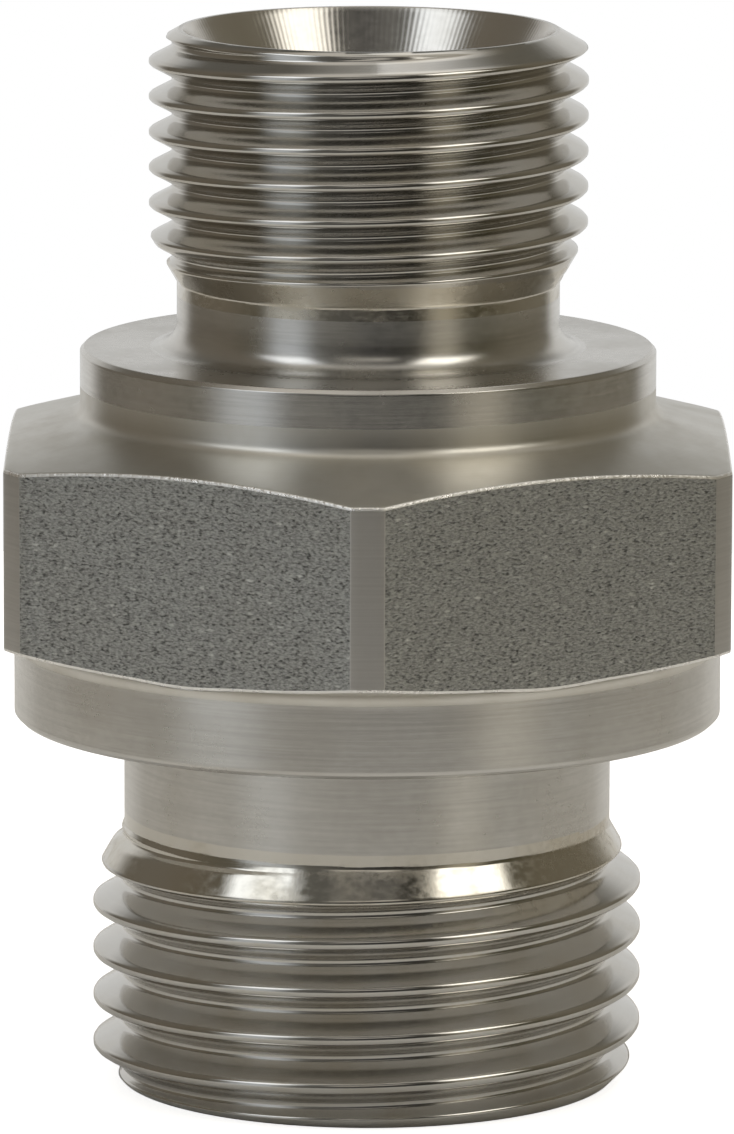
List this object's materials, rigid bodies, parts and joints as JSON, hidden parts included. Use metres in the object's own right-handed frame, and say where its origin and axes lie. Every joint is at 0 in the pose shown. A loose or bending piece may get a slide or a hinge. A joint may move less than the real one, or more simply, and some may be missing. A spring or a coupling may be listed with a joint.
{
  "type": "double nipple",
  "caption": "One-piece double nipple for pipework: male parallel pipe threads of different size, each with a relief and a sealing collar, on a hexagon body with a stepped through bore.",
  "frame": {"origin": "centre of the end face of the larger thread", "axes": "+Z along the axis, from the larger thread to the smaller; +Y and -Y run to two opposite corners of the hexagon, +X and -X to two flats"},
  "size_m": [0.027, 0.0304, 0.04],
  "materials": {
    "steel": "machine-turned stainless steel, bright on the turned surfaces and as-drawn on the hexagon's flats"
  },
  "bodies": {
    "root": {"nipple_body": "steel"}
  },
  "joints": []
}
